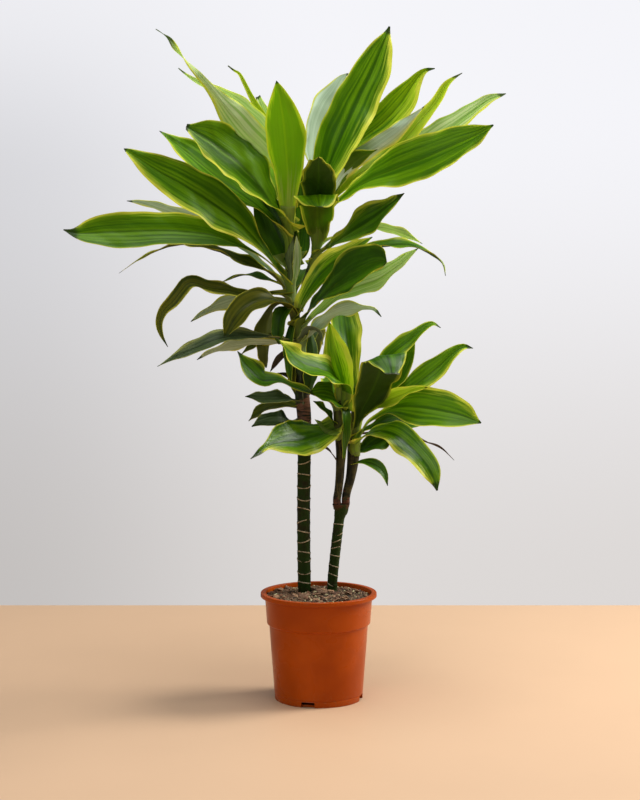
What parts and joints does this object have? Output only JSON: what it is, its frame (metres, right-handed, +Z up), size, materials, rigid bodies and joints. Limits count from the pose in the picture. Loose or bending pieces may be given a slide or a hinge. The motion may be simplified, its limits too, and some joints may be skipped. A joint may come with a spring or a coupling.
{
  "type": "potted corn plant",
  "caption": "Potted corn plant: bare canes with heads of long, arching, yellow-edged leaves, standing in soil in a round tapering nursery pot.",
  "frame": {"origin": "centre of the flat underside of the pot, on the surface that it stands on", "axes": "+Z up along the pot's axis, -Y towards the side that the picture shows, +X to the right in that view"},
  "size_m": [0.6406, 0.4403, 0.9796],
  "materials": {
    "pot": "satin orange-brown moulded plastic",
    "soil": "loose potting mix with bark chips",
    "cane": "dull green bark with pale leaf scars",
    "leaf": "glossy green blade with a yellow-green edge"
  },
  "bodies": {
    "root": {"pot": "pot", "soil": "soil", "tall_cane": "cane", "short_cane": "cane", "tall_left_head": "leaf", "tall_right_head": "leaf", "short_left_head": "leaf", "short_right_head": "leaf"}
  },
  "joints": []
}
